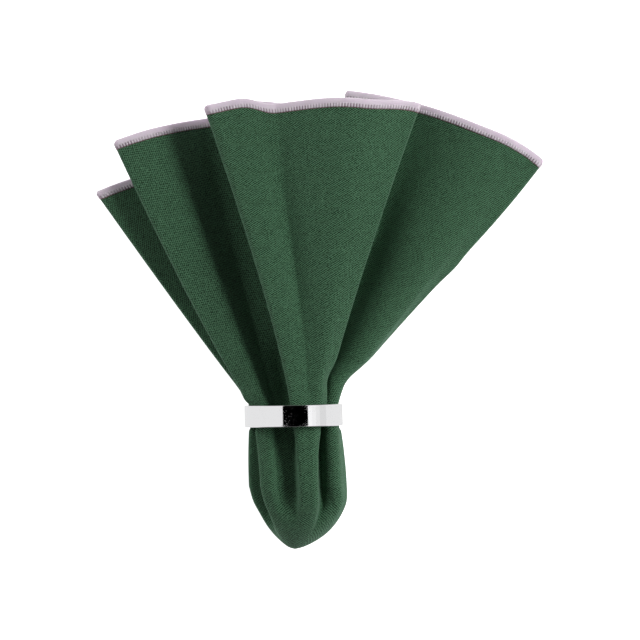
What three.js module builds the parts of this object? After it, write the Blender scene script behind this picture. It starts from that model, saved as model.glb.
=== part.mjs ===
// A round cloth napkin, pinched at its middle and drawn through a polished ring, lying on its back.
// Units are millimetres. +Z is up, +Y runs from the ring to the open end of the fan and +X is to the right.
// The origin is on the table, under the middle of the whole object.

import * as THREE from "three";

// The ring: a plain band round the gathers, standing on one of its facets.
const RING_DIAMETER = 46;
const RING_WALL = 1.2;
const RING_WIDTH = 10.2;
const RING_EDGE_RADIUS = 0.4;
const RING_TURN_DEGREES = 1.1;
const RING_SEGMENTS = 72;

// The cloth and the thread sewn over its raw edge.
const CLOTH_THICKNESS = 1;
const EDGING_WIDTH = 4.5;
const EDGING_GAP = 0.3;
const EDGING_TAPER = 0.5;
const EDGING_TAPER_WIDTH = 1.1;
const EDGING_LIFT = 0.2;

// The gather keeps its section a little way past the ring, which presses it in by its clearance.
const NECK_OVERHANG = 1.2;
const NECK_CLEARANCE = 0.4;
const NECK_BULGE = 0.6;

// Below the ring the gather is fullest at the belly and then closes to the pinched tip.
const BELLY_Y = -33;
const BELLY_CENTRE = { x: 1.7, z: -2 };
const BELLY_LAG = 0.9;
const BELLY_HALF_SIZE = { x: 23.4, z: 19 };
const TIP = { x: 0.6, y: -62.2, z: -7 };
// The folds on the left keep their shape longer than the others.
const LEFT_HOLD = 4;

// The fan isn't level: its layers rise and fall together in one long wave.
const WAVE_LENGTH = 120;
const WAVE_RISE = 0.07;
const WAVE_START_DEGREES = 40;

const FINISHES = {
  cloth: { color: 0x3d5c46, roughness: 0.95, metalness: 0 },
  thread: { color: 0xc8bcc8, roughness: 0.8, metalness: 0 },
  metal: { color: 0xd8d8da, roughness: 0.08, metalness: 1 },
};

// The cross-section is one closed line that runs like a belt round a pin at each fold.
// A crest bulges out of the gather and a tuck is pressed into it.
const CREST = 1;
const TUCK = -1;

// One row for each fold, in the order in which the cloth runs clockwise round the gather, seen from its tip.
// reach: free length of cloth from the ring to the edge.
// settle: share of that length in which the fold comes down to its height at the edge.
// flare: 1 runs straight from the ring to the edge, less leaves the ring more sideways.
// sway: how far the fold stands aside two thirds of the way to the edge.
// clock: direction in which the fold leaves the tip, in degrees from +X towards +Z.
// edge: x, height above the table and bend radius at the cloth's edge.
// neck, belly: x, height above the ring's axis and bend radius, in the ring and at the belly.
const FOLD_COLUMNS = ["fold", "side", "reach", "settle", "flare", "sway", "clock", "edge", "neck", "belly"];
const FOLDS = [
  ["centre_left", CREST, 143.9, 1, 1.2, 0, 86, [-38.7, 42, 3], [0.2, 18.4, 1.6], [4.4, 14.6, 1.6]],
  ["centre_ripple", CREST, 144.7, 1, 1.18, 0, 82, [-27.4, 28.4, 15], [2.6, 16.4, 3.4], [5.6, 14.6, 1.8]],
  ["centre_dip", TUCK, 140.4, 1, 1.22, 0, 78, [-9, 47.8, 8], [8, 20.5, 2.8], [7, 17.9, 1.6]],
  ["centre_swell", CREST, 143.2, 1, 1.14, 0, 72, [32, 6.6, 40], [9.6, 12.8, 4.6], [8.4, 14.6, 1.8]],
  ["centre_right", CREST, 145, 1, 1.15, 0, 68, [57.9, 41, 1.2], [13.4, 12.4, 1.6], [9.6, 14.2, 1.5]],
  ["right_valley", TUCK, 148, 1, 1.1, 0, 50, [56.2, 14.4, 2], [11.6, 1.8, 1.1], [12.9, 5.4, 1.1]],
  ["right_swell", CREST, 147.5, 1, 1, 2.8, 28, [88, -29.4, 52], [17, 6.2, 2.8], [18.6, 5.2, 3.8]],
  ["right_end", CREST, 149, 0.9, 1.06, 2.8, 2, [115.2, 14, 1.5], [18.4, -0.2, 1.1], [22.6, -3, 2]],
  ["back_tuck", TUCK, 148, 0.8, 1, 2.2, -16, [25.6, 9.1, 1], [7.5, -2.4, 1], [17.4, -6, 1]],
  ["back_right", CREST, 146, 0.7, 1, 1.6, -28, [99, 7.7, 1.3], [18.6, -6, 1.1], [20.4, -9.6, 1.5]],
  ["low_right_tuck", TUCK, 144, 0.6, 1, 0, -42, [22, 5.2, 1.2], [6.5, -6.6, 1], [14.4, -11, 1]],
  ["floor_right", CREST, 142, 0.45, 1, 0, -60, [86, 2.25, 1.75], [13.8, -12.8, 1.2], [13.4, -15.8, 1.8]],
  ["floor_left", CREST, 130, 0.45, 1, 0, -118, [-64, 1.8, 1.3], [-10.4, -15.8, 1.3], [-9.6, -17.6, 1.8]],
  ["low_left_tuck", TUCK, 132, 0.6, 1, 0, -134, [0, 4.15, 1.05], [1, -11.6, 1], [-9.4, -12.6, 1]],
  ["low_left", CREST, 123, 0.7, 0.95, 0, -148, [-74, 6.5, 1.3], [-15.4, -11, 1.1], [-16, -11.4, 1.5]],
  ["rear_left_tuck", TUCK, 127, 0.8, 0.96, 0, -162, [-5, 8.2, 1.1], [-1.5, -6.2, 1], [-13, -7.4, 1]],
  ["rear_left", CREST, 123.4, 0.9, 0.96, 0, -178, [-91.6, 13, 1.3], [-18.6, -4.2, 1.1], [-19, -4, 1.6]],
  ["side_tuck", TUCK, 122.5, 0.95, 0.92, 0, -202, [-52, 13.7, 1.3], [-3, -2.2, 1], [-10.5, -1.4, 1]],
  ["front_left", CREST, 138.2, 1, 0.88, 0, -222, [-82.4, 24, 1.8], [-18.4, 5.6, 1.2], [-13.4, 8.4, 1.8]],
  ["left_swell", CREST, 138, 1, 0.91, 0, -240, [-69, 5.6, 20], [-13.6, 7, 2.6], [-10.8, 9.4, 2.2]],
  ["left_slope", TUCK, 138, 1, 0.96, 0, -252, [-40, 22.6, 10], [-7.6, 7.4, 2.5], [-6.4, 11.2, 2.3]],
  ["left_valley", TUCK, 139, 1, 1, 0, -264, [14, 13.4, 1.6], [1.5, 4, 1], [0.4, 8, 1.2]],
].map((cells) => Object.fromEntries(cells.map((cell, i) => [FOLD_COLUMNS[i], cell])));

// Sections of the nose between the belly and the tip, with the middle of each.
// size: share of the belly's size.
// open: share in which the folds have opened into the smooth cone of the tip.
const NOSE = [
  { y: -40, x: 2.6, size: 0.95, open: 0.4 },
  { y: -46, x: 3.1, size: 0.82, open: 0.74 },
  { y: -51.5, x: 3.1, size: 0.66, open: 0.92 },
  { y: -56, x: 2.7, size: 0.48, open: 0.98 },
  { y: -59.5, x: 1.8, size: 0.28, open: 1 },
  { y: -61.4, x: 1, size: 0.13, open: 1 },
];

// Places of the sections: shares of the way from the lower end of the neck to the belly,
// and from the upper end of the neck to the cloth's edge.
const BELLY_SHARES = [0, 0.3, 0.65, 1];
const FAN_SHARES = [0, 0.05, 0.13, 0.24, 0.38, 0.54, 0.7, 0.86, 1];

// How finely the belt line is divided.
// The span of a bend is its share of the step from one fold to the next, to either side.
const BEND_SPAN = 0.2;
const SOFT_RADIUS = 5;
const SHARP_ARC_STEPS = 4;
const SOFT_ARC_STEPS = 2;
const LONG_PANEL = 45;
const LONG_PANEL_STEPS = 3;
const SHORT_PANEL_STEPS = 2;

const FULL_TURN = 2 * Math.PI;
const QUARTER_TURN = Math.PI / 2;

const ringRadius = RING_DIAMETER / 2;
const axisHeight = ringRadius * Math.cos(Math.PI / RING_SEGMENTS);
const neckHalf = RING_WIDTH / 2 + NECK_OVERHANG;
const clothHalf = CLOTH_THICKNESS / 2;
const neckMost = ringRadius - RING_WALL - NECK_CLEARANCE - clothHalf;

function mix(a, b, share) {
  return a + (b - a) * share;
}

// The pins of one section of the fold table, at their heights above the table.
function pinsOf(section, lift) {
  return FOLDS.map((row) => {
    const [x, z, radius] = row[section];
    return { x, z: z + lift, radius, side: row.side };
  });
}

// The heading of the straight run of the belt from one pin to the next.
function headingBetween(a, b) {
  const dx = b.x - a.x;
  const dz = b.z - a.z;
  const offset = b.side * b.radius - a.side * a.radius;
  return Math.atan2(dz, dx) + Math.asin(offset / Math.hypot(dx, dz));
}

// The point where the belt touches a pin while it has a given heading.
function touchPoint(pin, heading) {
  return {
    x: pin.x - pin.side * pin.radius * Math.sin(heading),
    z: pin.z + pin.side * pin.radius * Math.cos(heading),
  };
}

// The angle through which the belt bends round a pin.
// A pin that it only just misses bends it back a little.
function bendAngle(pin, arriving, leaving) {
  const bend = (arriving - leaving) * pin.side;
  return THREE.MathUtils.euclideanModulo(bend + QUARTER_TURN, FULL_TURN) - QUARTER_TURN;
}

// Into how many steps a bend and the panel of cloth after it are divided.
function stepsAt(index) {
  const row = FOLDS[index];
  const next = FOLDS[(index + 1) % FOLDS.length];
  const [x, , radius] = row.edge;
  const isSoft = radius > SOFT_RADIUS;
  const isLong = Math.abs(next.edge[0] - x) > LONG_PANEL;
  return {
    arc: isSoft ? SOFT_ARC_STEPS : SHARP_ARC_STEPS,
    panel: isLong ? LONG_PANEL_STEPS : SHORT_PANEL_STEPS,
  };
}

// The points of the closed belt line of a section.
// Each carries the fold before it, the fold after it and its share of the way between the two.
// Its order counts on through the folds, so that the points of one bend part at the tip.
function beltLine(section, lift) {
  const pins = pinsOf(section, lift);
  const count = pins.length;
  const headings = pins.map((pin, i) => headingBetween(pin, pins[(i + 1) % count]));
  const points = [];
  pins.forEach((pin, i) => {
    const next = (i + 1) % count;
    const arriving = headings[(i + count - 1) % count];
    const bend = bendAngle(pin, arriving, headings[i]);
    const steps = stepsAt(i);
    for (let step = 0; step <= steps.arc; step++) {
      const heading = arriving - (pin.side * bend * step) / steps.arc;
      const order = i + BEND_SPAN * ((2 * step) / steps.arc - 1);
      points.push({ ...touchPoint(pin, heading), from: i, to: i, share: 0, order });
    }
    const start = touchPoint(pin, headings[i]);
    const end = touchPoint(pins[next], headings[i]);
    for (let step = 1; step < steps.panel; step++) {
      const share = step / steps.panel;
      points.push({
        x: mix(start.x, end.x, share),
        z: mix(start.z, end.z, share),
        from: i,
        to: next,
        share,
        order: i + mix(BEND_SPAN, 1 - BEND_SPAN, share),
      });
    }
  });
  return points;
}

const edgeLine = beltLine("edge", 0);
const neckLine = beltLine("neck", axisHeight);
const bellyLine = beltLine("belly", axisHeight);

// A column of the fold table at a point of the belt line.
function columnAt(k, column) {
  const { from, to, share } = edgeLine[k];
  return mix(FOLDS[from][column], FOLDS[to][column], share);
}

// The clock direction of a fold, counted on past a full turn.
function clockOf(index) {
  const lap = Math.floor(index / FOLDS.length);
  return FOLDS[index - lap * FOLDS.length].clock - 360 * lap;
}

// The clock direction at a point of the belt line, in radians.
function clockAt(k) {
  const { order } = edgeLine[k];
  const before = Math.floor(order);
  return THREE.MathUtils.degToRad(mix(clockOf(before), clockOf(before + 1), order - before));
}

// How far down a fold has come at a share of its reach.
function settling(share, settle) {
  const left = 1 - Math.min(share / settle, 1);
  return 1 - left * left;
}

// The height of a point of the fan after the wave has lifted or lowered it.
function waved(x, z, share) {
  const turn = (FULL_TURN * x) / WAVE_LENGTH + THREE.MathUtils.degToRad(WAVE_START_DEGREES);
  return clothHalf + (z - clothHalf) * (1 + WAVE_RISE * share * Math.sin(turn));
}

// A point of the fan at a share of the way from the neck to the cloth's edge.
function fanPoint(k, share) {
  const reach = columnAt(k, "reach");
  const spread = edgeLine[k].x - neckLine[k].x;
  const drop = edgeLine[k].z - neckLine[k].z;
  const forward = Math.sqrt(reach * reach - spread * spread - drop * drop);
  const aside = columnAt(k, "sway") * Math.sin(Math.PI * share * share);
  const x = neckLine[k].x + spread * Math.pow(share, columnAt(k, "flare")) + aside;
  const z = neckLine[k].z + drop * settling(share, columnAt(k, "settle"));
  return new THREE.Vector3(x, neckHalf + forward * share, waved(x, z, share));
}

// A row of the gather between the lower end of the neck and the belly.
// Its folds begin to change inside the ring and its middle moves over later.
// The ring presses it in as a whole.
function bellyRow(share) {
  const y = mix(-neckHalf, BELLY_Y, share);
  const passed = (neckHalf - y) / (neckHalf - BELLY_Y);
  const eased = 1 - (1 - passed) * (1 - passed);
  const over = BELLY_LAG * (passed * passed - eased);
  const points = neckLine.map((neck, k) => ({
    x: mix(neck.x, bellyLine[k].x, eased) + over,
    z: mix(neck.z, bellyLine[k].z, eased) - axisHeight,
  }));
  const most = neckMost + NECK_BULGE * (-neckHalf - y);
  const press = Math.min(1, most / Math.max(...points.map(({ x, z }) => Math.hypot(x, z))));
  return points.map(({ x, z }) => new THREE.Vector3(x * press, y, axisHeight + z * press));
}

// A point of the nose, where the folds open into a smooth cone.
function nosePoint(k, row) {
  const share = (row.y - BELLY_Y) / (TIP.y - BELLY_Y);
  const foldedX = bellyLine[k].x - BELLY_CENTRE.x;
  const foldedZ = bellyLine[k].z - axisHeight - BELLY_CENTRE.z;
  const clock = clockAt(k);
  const open = Math.pow(row.open, mix(1, LEFT_HOLD, Math.max(0, -Math.cos(clock))));
  const x = mix(foldedX, BELLY_HALF_SIZE.x * Math.cos(clock), open);
  const z = mix(foldedZ, BELLY_HALF_SIZE.z * Math.sin(clock), open);
  const middleZ = axisHeight + mix(BELLY_CENTRE.z, TIP.z, share);
  return new THREE.Vector3(row.x + x * row.size, row.y, middleZ + z * row.size);
}

// Share of the reach that is left before a strip along the cloth's edge.
function shareBefore(k, strip) {
  return 1 - strip / columnAt(k, "reach");
}

// The rows of the cloth's middle surface, from the tip to its edge under the thread.
function clothRows() {
  const around = (place) => edgeLine.map((point, k) => place(k));
  const strip = EDGING_WIDTH + EDGING_GAP;
  const tip = new THREE.Vector3(TIP.x, TIP.y, axisHeight + TIP.z);
  const nose = NOSE.map((row) => around((k) => nosePoint(k, row)));
  const belly = BELLY_SHARES.map(bellyRow);
  const fan = FAN_SHARES.map((share) => around((k) => fanPoint(k, share * shareBefore(k, strip))));
  return [around(() => tip.clone()), ...nose.reverse(), ...belly.reverse(), ...fan];
}

// The rows of the thread's middle surface, from its inner to its outer edge.
// The thread stands a little higher than the cloth, which alone meets the table.
function threadRows() {
  const strips = [EDGING_WIDTH, EDGING_TAPER_WIDTH, 0];
  const lift = new THREE.Vector3(0, 0, EDGING_LIFT);
  return strips.map((strip) => edgeLine.map((point, k) => fanPoint(k, shareBefore(k, strip)).add(lift)));
}

// The outward direction at each point of the rows.
function outwardRows(rows) {
  const last = rows.length - 1;
  return rows.map((row, j) =>
    row.map((point, k) => {
      const count = row.length;
      const along = rows[Math.min(j + 1, last)][k].clone().sub(rows[Math.max(j - 1, 0)][k]);
      const around = row[(k + 1) % count].clone().sub(row[(k + count - 1) % count]);
      return around.cross(along).normalize();
    }),
  );
}

// One face of a sheet, at a distance from its middle surface that is given for each row.
function faceRows(rows, outward, distances) {
  return rows.map((row, j) =>
    row.map((point, k) => point.clone().addScaledVector(outward[j][k], distances[j])),
  );
}

// Whether a row of points has closed to a single one.
function isPoint(row) {
  return row[0].distanceTo(row[1]) === 0;
}

// A mesh over rows of points, each a closed loop. The last row may join the first.
function meshFromRows(rows, joinsEnds) {
  const count = rows[0].length;
  const positions = rows.flat().flatMap((point) => point.toArray());
  const indices = [];
  const bands = joinsEnds ? rows.length : rows.length - 1;
  for (let j = 0; j < bands; j++) {
    const next = (j + 1) % rows.length;
    for (let k = 0; k < count; k++) {
      const right = (k + 1) % count;
      const [a, b] = [j * count + k, j * count + right];
      const [c, d] = [next * count + right, next * count + k];
      if (!isPoint(rows[j])) indices.push(a, b, c);
      if (!isPoint(rows[next])) indices.push(a, c, d);
    }
  }
  const geometry = new THREE.BufferGeometry();
  geometry.setAttribute("position", new THREE.Float32BufferAttribute(positions, 3));
  geometry.setIndex(indices);
  geometry.computeVertexNormals();
  return geometry;
}

// The cloth: its outer and inner faces meet round the edge, and each closes at the tip.
function buildCloth(rows, outward) {
  const outer = faceRows(rows, outward, rows.map(() => clothHalf));
  const inner = faceRows(rows, outward, rows.map(() => -clothHalf));
  const tipStep = new THREE.Vector3(0, -clothHalf, 0);
  outer[0].forEach((point, k) => point.copy(rows[0][k]).add(tipStep));
  inner[0].forEach((point, k) => point.copy(rows[0][k]).sub(tipStep));
  return meshFromRows([...outer, ...inner.reverse()], false);
}

// The thread: a flat loop all round the cloth, thinner at its outer edge.
function buildEdging(rows, outward) {
  const halves = [clothHalf, clothHalf, clothHalf * EDGING_TAPER];
  const outer = faceRows(rows, outward, halves);
  const inner = faceRows(rows, outward, halves.map((half) => -half));
  return meshFromRows([...outer, ...inner.reverse()], true);
}

// The ring: a band with rounded edges, turned about the Y axis.
function buildRing() {
  const half = RING_WIDTH / 2;
  const inner = ringRadius - RING_WALL;
  const round = RING_EDGE_RADIUS;
  const section = [
    [inner, -half + round],
    [inner + round, -half],
    [ringRadius - round, -half],
    [ringRadius, -half + round],
    [ringRadius, half - round],
    [ringRadius - round, half],
    [inner + round, half],
    [inner, half - round],
    [inner, -half + round],
  ].map(([radius, y]) => new THREE.Vector2(radius, y));
  return new THREE.LatheGeometry(section, RING_SEGMENTS, Math.PI / RING_SEGMENTS);
}

function named(name, geometry, finish) {
  const mesh = new THREE.Mesh(geometry, new THREE.MeshStandardMaterial(finish));
  mesh.name = name;
  return mesh;
}

const cloth = clothRows();
const thread = threadRows();
const outward = outwardRows([...cloth, ...thread]);
const clothOutward = outward.slice(0, cloth.length);
const threadOutward = outward.slice(cloth.length);

const ring = named("ring", buildRing(), FINISHES.metal);
ring.position.z = axisHeight;
ring.rotation.z = THREE.MathUtils.degToRad(RING_TURN_DEGREES);

const placed = new THREE.Group();
placed.add(named("napkin", buildCloth(cloth, clothOutward), FINISHES.cloth));
placed.add(named("edging", buildEdging(thread, threadOutward), FINISHES.thread));
placed.add(ring);

// The origin goes under the middle of the whole.
placed.updateMatrixWorld(true);
const box = new THREE.Box3().setFromObject(placed, true);
const middle = box.getCenter(new THREE.Vector3());
placed.position.set(-middle.x, -middle.y, -box.min.z);

const napkinInRing = new THREE.Group();
napkinInRing.add(placed);

export default napkinInRing;
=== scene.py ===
"""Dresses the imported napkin: woven cloth, overlocked edge, polished ring and a small studio.

Shapes are worked out in millimetres from the middle of the ring and placed in metres.
"""

import math
from collections import namedtuple

import bmesh
import bpy
from bpy.props import FloatProperty, FloatVectorProperty, IntProperty, PointerProperty
from bpy.types import Operator, Panel, PropertyGroup
from mathutils import Matrix, Vector, noise


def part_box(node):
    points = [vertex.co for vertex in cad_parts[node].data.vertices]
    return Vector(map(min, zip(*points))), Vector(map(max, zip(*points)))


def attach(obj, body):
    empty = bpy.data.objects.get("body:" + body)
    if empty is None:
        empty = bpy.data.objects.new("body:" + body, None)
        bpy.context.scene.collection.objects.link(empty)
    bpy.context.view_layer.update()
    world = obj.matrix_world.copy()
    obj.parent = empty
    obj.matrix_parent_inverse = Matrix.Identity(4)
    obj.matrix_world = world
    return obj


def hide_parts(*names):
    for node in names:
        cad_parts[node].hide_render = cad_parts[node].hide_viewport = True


bl_info = {
    "name": "Napkin in a ring",
    "version": (1, 0, 0),
    "blender": (4, 5, 0),
    "location": "View3D > Sidebar > Napkin",
    "description": "Builds a gathered cloth napkin with an overlocked edge in a polished ring",
    "category": "Object",
}

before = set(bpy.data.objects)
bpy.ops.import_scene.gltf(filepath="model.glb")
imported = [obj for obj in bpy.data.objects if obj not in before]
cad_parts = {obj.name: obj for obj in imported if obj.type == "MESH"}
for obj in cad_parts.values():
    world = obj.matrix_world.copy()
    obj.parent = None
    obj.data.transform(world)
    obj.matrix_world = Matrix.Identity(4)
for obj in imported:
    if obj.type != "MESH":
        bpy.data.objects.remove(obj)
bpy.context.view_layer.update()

MM = 0.001
MERGE_DISTANCE = 0.0005 * MM
RING_LOW, RING_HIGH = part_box("ring")
RING_MIDDLE = (RING_LOW + RING_HIGH) / 2
BODY = "root"
FULL_TURN = 2 * math.pi
QUARTER_TURN = math.pi / 2

# The ring and the gather inside it, in millimetres.
RING_DIAMETER = 46
RING_WALL = 1.2
RING_WIDTH = 10.2
RING_TURN_DEGREES = 1.1
RING_FACETS = 72
AXIS_HEIGHT = RING_DIAMETER / 2 * math.cos(math.pi / RING_FACETS)
NECK_MARGIN = 0.7
RING_CLEARANCE = 0.5
NECK_HALF = RING_WIDTH / 2 + NECK_MARGIN
NECK_MOST = RING_DIAMETER / 2 - RING_WALL - RING_CLEARANCE
NECK_BULGE = 0.6
BELLY_Y = -33
BELLY_CENTRE = (1.7, -2)
BELLY_LAG = 0.9
BELLY_HALF_SIZE = (23.4, 19)
FLOOR_LAYER = 0.5

# The fan isn't level: its layers rise and fall together in one long wave.
WAVE_LENGTH = 120
WAVE_RISE = 0.07
WAVE_START = math.radians(40)

# The section is one closed line that runs like a belt round a pin at each fold.
CREST = 1
TUCK = -1
Fold = namedtuple("Fold", "name side reach settle flare sway clock parts edge neck belly")
# reach: free length of cloth from the ring to the edge. settle: share of it in which the fold comes down.
# flare: 1 runs straight to the edge, less leaves the ring more sideways. sway: how far it stands aside.
# clock: direction in degrees in which the fold leaves the tip. parts: into how many parts the panel after
# the fold is divided, finer where it shows. edge, neck, belly: x, height and bend radius there.
FOLDS = [
    Fold("centre_left", CREST, 144.4, 1, 1.2, 0, 86, 3,
         edge=(-38.7, 42, 3), neck=(0.2, 18.4, 1.6), belly=(4.4, 14.6, 1.6)),
    Fold("centre_ripple", CREST, 144.7, 1, 1.18, 0, 82, 5,
         edge=(-27.4, 28.4, 15), neck=(2.6, 16.4, 3.4), belly=(5.6, 14.6, 1.8)),
    Fold("centre_dip", TUCK, 140.4, 1, 1.22, 0, 78, 9,
         edge=(-9, 47.8, 8), neck=(8, 20.5, 2.8), belly=(7, 17.9, 1.6)),
    Fold("centre_swell", CREST, 143.3, 1, 1.14, 0, 74, 7,
         edge=(32, 6.6, 40), neck=(9.6, 12.8, 4.6), belly=(8.4, 14.6, 1.8)),
    Fold("centre_right", CREST, 146.6, 1, 1.15, 0, 71, 4,
         edge=(58.3, 41, 0.8), neck=(13.4, 12.4, 1.6), belly=(9.6, 14.2, 1.5)),
    Fold("right_valley", TUCK, 148, 1, 1.1, 0, 62, 14,
         edge=(56.2, 14.4, 2), neck=(11.6, 1.8, 1.1), belly=(12.9, 5.4, 1.1)),
    Fold("right_swell", CREST, 147.5, 1, 1, 2.8, 28, 7,
         edge=(88, -29.4, 52), neck=(17, 6.2, 2.8), belly=(18.6, 5.2, 3.8)),
    Fold("right_end", CREST, 150.1, 0.9, 1.06, 2.8, 2, 10,
         edge=(115.7, 14, 1.5), neck=(18.4, -0.2, 1.1), belly=(22.6, -3, 2)),
    Fold("back_tuck", TUCK, 148.1, 0.8, 1, 2.2, -16, 8,
         edge=(25.6, 9.1, 1), neck=(7.5, -2.4, 1), belly=(17.4, -6, 1)),
    Fold("back_right", CREST, 146, 0.7, 1, 1.6, -28, 7,
         edge=(99, 7.7, 1.3), neck=(18.6, -6, 1.1), belly=(20.4, -9.6, 1.5)),
    Fold("low_right_tuck", TUCK, 144, 0.6, 1, 0, -42, 6,
         edge=(22, 5.2, 1.2), neck=(6.5, -6.6, 1), belly=(14.4, -11, 1)),
    Fold("floor_right", CREST, 142, 0.45, 1, 0, -60, 14,
         edge=(86, 2.25, 1.75), neck=(13.8, -12.8, 1.2), belly=(13.4, -15.8, 1.8)),
    Fold("floor_left", CREST, 130, 0.45, 1, 0, -118, 6,
         edge=(-64, 1.8, 1.3), neck=(-10.4, -15.8, 1.3), belly=(-9.6, -17.6, 1.8)),
    Fold("low_left_tuck", TUCK, 132, 0.6, 1, 0, -134, 6,
         edge=(0, 4.15, 1.05), neck=(1, -11.6, 1), belly=(-9.4, -12.6, 1)),
    Fold("low_left", CREST, 123, 0.7, 0.95, 0, -148, 6,
         edge=(-74, 6.5, 1.3), neck=(-15.4, -11, 1.1), belly=(-16, -11.4, 1.5)),
    Fold("rear_left_tuck", TUCK, 119, 0.8, 0.96, 0, -162, 8,
         edge=(-5, 8.2, 1.1), neck=(-1.5, -6.2, 1), belly=(-13, -7.4, 1)),
    Fold("rear_left", CREST, 123.4, 0.9, 0.96, 0, -178, 7,
         edge=(-91.6, 13, 1.3), neck=(-18.6, -4.2, 1.1), belly=(-19, -4, 1.6)),
    Fold("side_tuck", TUCK, 122.5, 0.95, 0.92, 0, -202, 5,
         edge=(-52, 13.7, 1.3), neck=(-3, -2.2, 1), belly=(-10.5, -1.4, 1)),
    Fold("front_left", CREST, 138.5, 1, 0.88, 0, -222, 4,
         edge=(-82.4, 24, 1.8), neck=(-18.4, 5.6, 1.2), belly=(-13.4, 8.4, 1.8)),
    Fold("left_swell", CREST, 138.7, 1, 0.91, 0, -240, 7,
         edge=(-69, 5.6, 20), neck=(-13.6, 7, 2.6), belly=(-10.8, 9.4, 2.2)),
    Fold("left_slope", TUCK, 138.2, 1, 0.96, 0, -252, 10,
         edge=(-40, 22.6, 10), neck=(-7.6, 7.4, 2.5), belly=(-6.4, 11.2, 2.3)),
    Fold("left_valley", TUCK, 139, 1, 1, 0, -264, 8,
         edge=(14, 13.4, 1.6), neck=(1.5, 4, 1), belly=(0.4, 8, 1.2)),
]
FOLD_INDEX = {fold.name: i for i, fold in enumerate(FOLDS)}
# Share of the way to the next fold that half a bend takes, the radius past which a bend is soft, and into
# how many parts a bend is divided.
BEND_SPAN = 0.2
SOFT_RADIUS = 5
SHARP_BEND_PARTS = 8
SOFT_BEND_PARTS = 6
MOST_BEND_FINENESS = 2
# The thick edge is rounded where a sharp fold ends.
HEM_ROUND = 1.3

# Sections of the nose from the belly to the tip: place, middle, share of the belly's size and how far the
# folds have opened into a smooth cone.
NoseSection = namedtuple("NoseSection", "y x size opened")
NOSE = [
    NoseSection(-33, 1.7, 1, 0),
    NoseSection(-40, 2.6, 0.95, 0.5),
    NoseSection(-46, 3.1, 0.82, 0.82),
    NoseSection(-51.5, 3.1, 0.66, 0.95),
    NoseSection(-56, 2.7, 0.48, 0.98),
    NoseSection(-59.5, 1.8, 0.28, 1),
    NoseSection(-61.4, 1, 0.13, 1),
    NoseSection(-62.2, 0.6, 0, 1),
]
TIP_Z = -7
# The folds on the left and the hollow on the right keep their shape longer than the others.
LEFT_HOLD = 8
HOLLOW_HOLD = 2.5
HOLLOW_CLOCK = math.radians(64)
HOLLOW_SPAN = math.radians(20)

# Rows of the cloth in each stretch, from the tip to the edge.
NOSE_ROWS = 26
BELLY_ROWS = 18
NECK_ROWS = 3
FAN_ROWS = 62
FAN_ROW_CROWDING = 1.25
RING_ROW = NOSE_ROWS + BELLY_ROWS + 1

# The yarns run along the centre panel. Below the ring, lengths along the cloth take in only a share of its
# rise and fall, which keeps the yarns even there.
WEAVE_TURN = math.radians(104)
GATHER_DEPTH_SHARE = 0.4

# Creases on the upper panels as soft troughs and ridges, in plan from the ring's middle.
Crease = namedtuple("Crease", "first last start end rise width")
CREASES = [
    Crease("right_valley", "right_end", (50.5, 122), (19, 22), -4.2, 8),
    Crease("right_valley", "right_end", (46, 66), (84, 84), 0.9, 7),
    Crease("centre_left", "centre_right", (-11, 132), (5.5, 34), -2.7, 5.6),
    Crease("centre_left", "centre_right", (30, 120), (13, 45), -0.5, 9),
    Crease("front_left", "left_valley", (-62, 118), (-24, 40), 0.7, 6),
    Crease("front_left", "left_valley", (-50, 120), (-20, 46), -0.8, 6),
    Crease("front_left", "left_valley", (-1, -2), (-9, 36), -3, 4),
]
CREASE_FADE = 1.25

# Unevenness of the layers that stand clear of the table: long ripples that start a share of the way up the
# fan, and a pucker that dies away from the edge.
LIFT_FULL = 18
RIPPLE_LENGTH = 38
RIPPLE_RISE = 0.9
RIPPLE_START = 0.25
PUCKER_LENGTH = 11
PUCKER_RISE = 0.45
PUCKER_DEPTH = 16
PUCKER_STEP = 3

# Places where the sides bend out or in, by their distance from the ring. The kink is in the right-hand fold
# only. The nips take all the layers that stand out to the right, and the swell those to the left.
Bulge = namedtuple("Bulge", "y width out")
KINK = Bulge(69, 5, 0.9)
NIPS = [Bulge(16.5, 6.5, -2.8), Bulge(4, 3.5, 1.4)]
SWELL = Bulge(7, 3.5, 1.5)
SIDE_START = (10, 22)

# The overlocked edge across its width, from its inner to its outer edge: distance from the edge and half
# thickness of the thread there.
EDGING_PROFILE = [(4.6, 0.44), (3.8, 0.5), (2.5, 0.56), (1.3, 0.56), (0.5, 0.44), (0.05, 0.2)]
# Distances from the edge: where the cloth ends inside the thread, and where the painted shade in the gaps
# between the stitches and the painted shade along the band's inner edge begin.
CLOTH_UNDER_EDGING = 1
GAP_START = (2.4, 3.0)
INNER_EDGE_SHADE_START = (4.1, 4.35)
# The stitches lie in a row, raised off the cloth, sink into the thread at sharp fold ends, and are uneven.
STITCH_MIDDLE = 3.3
STITCH_RAISE = 0.5
STITCH_SINK = 0.8
STITCH_SHIFT = 0.22
STITCH_LEAN = 0.1
STITCH_BLUNTNESS = 0.7
# Paces and rows in the noise that make them uneven.
SHIFT_PACE = 0.71
SHIFT_ROW = 3.1
LEAN_PACE = 0.37
LEAN_ROW = 9.2

# Finishes. The scale or stretch of a noise counts its spots to a metre, but those of SLUB_STRETCH and
# TONE_NOISES to a yarn.
# Green yarn: how many yarns it wanders off its place, how plump it is at a crossing, which also shapes its
# painted light and shade, and its tones.
YARN_WANDER = 1.1
YARN_WANDER_SCALE = 620.0
YARN_PLUMPNESS = 0.6
SLUB_STRETCH = 0.03
WEFT_SHARE = 0.6
FADING_SCALE = 28.0
FADING_CHANGE = 0.1
ToneNoise = namedtuple("ToneNoise", "stretch detail change")
TONE_NOISES = [ToneNoise((0.9, 0.7, 1), 1.0, 1.5), ToneNoise((0.2, 0.14, 1), 2.0, 0.35)]
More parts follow.
